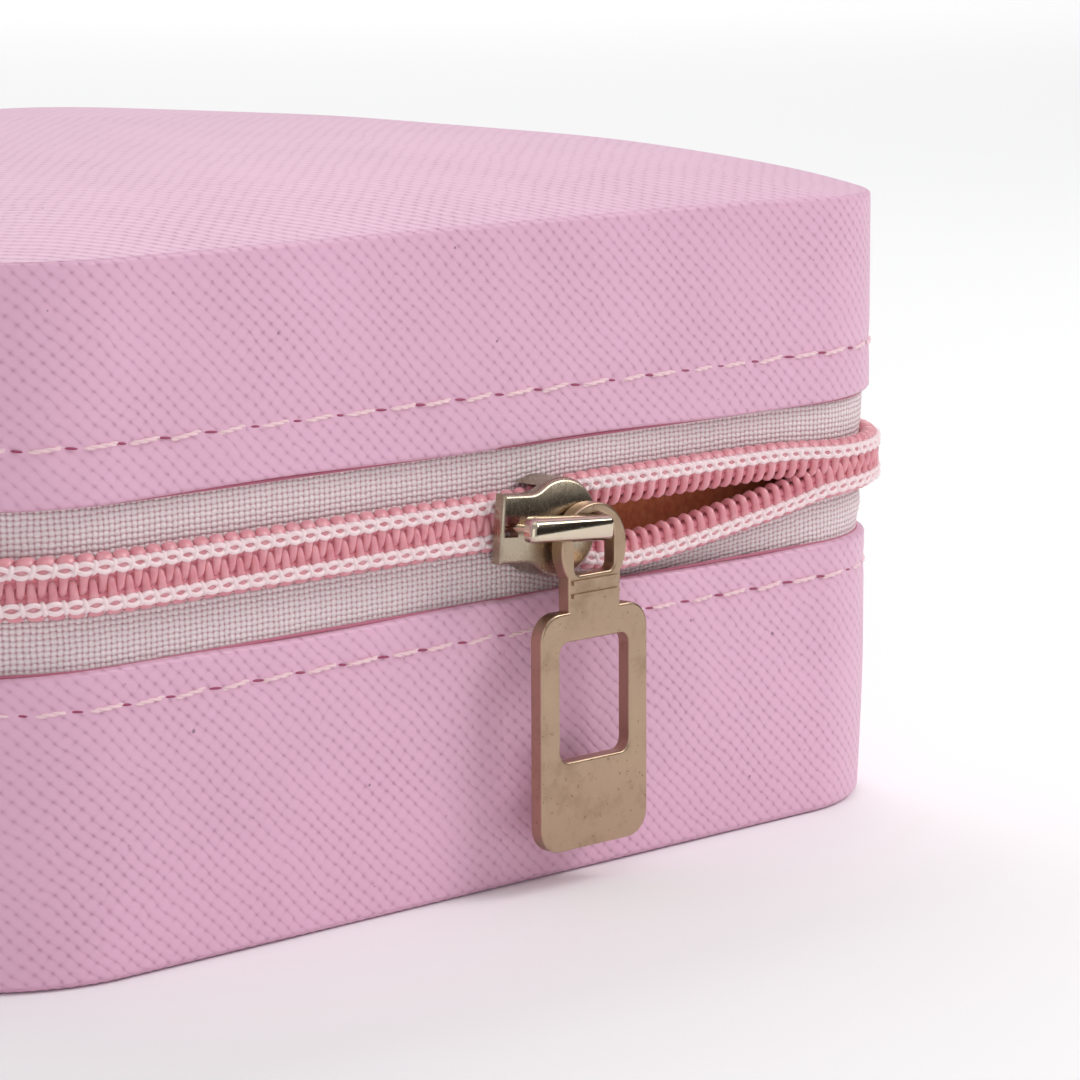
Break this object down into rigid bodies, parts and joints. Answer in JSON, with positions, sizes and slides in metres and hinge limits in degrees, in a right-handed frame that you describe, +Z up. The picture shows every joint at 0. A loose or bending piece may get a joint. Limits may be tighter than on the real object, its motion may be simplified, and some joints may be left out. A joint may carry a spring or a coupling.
{
  "type": "jewelry box",
  "caption": "Small square travel jewelry box: padded leather-covered case with a hinged lid, a zip round the sides, and a lined tray with ring rolls and dividers.",
  "frame": {"origin": "centre of the case's plan, on the surface that it stands on", "axes": "+Z up through the padded lid; -Y out of the front, where the zip slider hangs; +X to the right as seen from the front; the lid's hinge is at +Y"},
  "size_m": [0.1018, 0.106, 0.0553],
  "materials": {
    "leather_cover": "satin, cross-hatched emboss",
    "zip_tape": "matt woven",
    "zip_coil": "semi-gloss nylon coil with stitched cord",
    "nickel_metal": "warm nickel plate, satin with fine wear",
    "collar_lining": "matt fine texture",
    "velvet_lining": "velvet",
    "ring_roll_velvet": "velvet",
    "pocket_cloth": "gathered elastic cloth",
    "foam": "soft open-cell foam",
    "grey_board": "raw pressed board"
  },
  "bodies": {
    "base": {"base_bottom_cover": "leather_cover", "base_bottom_board": "grey_board", "base_wall_board": "grey_board", "base_band": "leather_cover", "inner_collar": "collar_lining", "tray_floor": "velvet_lining", "partition": "velvet_lining", "ring_roll_1": "ring_roll_velvet", "ring_roll_2": "ring_roll_velvet", "ring_roll_3": "ring_roll_velvet", "ring_roll_4": "ring_roll_velvet", "ring_roll_5": "ring_roll_velvet", "ring_roll_6": "ring_roll_velvet", "ring_roll_7": "ring_roll_velvet", "divider_guides": "velvet_lining", "zip_tape_lower": "zip_tape", "zip_coil_lower": "zip_coil", "hinge_strip": "leather_cover"},
    "divider_front": {"divider_1": "velvet_lining"},
    "divider_back": {"divider_2": "velvet_lining"},
    "lid": {"lid_band": "leather_cover", "lid_wall_board": "grey_board", "lid_top_board": "grey_board", "lid_cover": "leather_cover", "lid_foam": "foam", "lid_lining": "velvet_lining", "lid_wall_lining": "velvet_lining", "zip_tape_upper": "zip_tape", "zip_coil_upper": "zip_coil", "hook_strip": "velvet_lining", "hook_1": "nickel_metal", "hook_2": "nickel_metal", "hook_3": "nickel_metal", "pocket_panel": "pocket_cloth", "pocket_hem": "pocket_cloth"},
    "slider": {"slider_body": "nickel_metal", "slider_bridge": "nickel_metal", "lock_pin": "nickel_metal"},
    "pull": {"pull_tab": "nickel_metal"}
  },
  "joints": [
    {"name": "lid_hinge", "type": "hinge", "parent": "base", "child": "lid", "pos_m": [0, 0.0514, 0.0279], "axis": [-1, 0, 0], "range_deg": [0, 110], "deforming": ["hinge_strip", "zip_tape_upper", "zip_coil_upper"]},
    {"name": "slider_travel", "type": "slide", "parent": "base", "child": "slider", "axis": [1, 0, 0], "range_m": [-0.032, 0.026], "deforming": ["zip_coil_lower", "zip_coil_upper", "zip_tape_lower", "zip_tape_upper"]},
    {"name": "pull_swing", "type": "hinge", "parent": "slider", "child": "pull", "pos_m": [0.00585, -0.0532, 0.0274], "axis": [0, -1, 0], "range_deg": [-40, 180]},
    {"name": "divider_front_lift", "type": "slide", "parent": "base", "child": "divider_front", "axis": [0, 0, 1], "range_m": [0, 0.008]},
    {"name": "divider_back_lift", "type": "slide", "parent": "base", "child": "divider_back", "axis": [0, 0, 1], "range_m": [0, 0.008]}
  ]
}
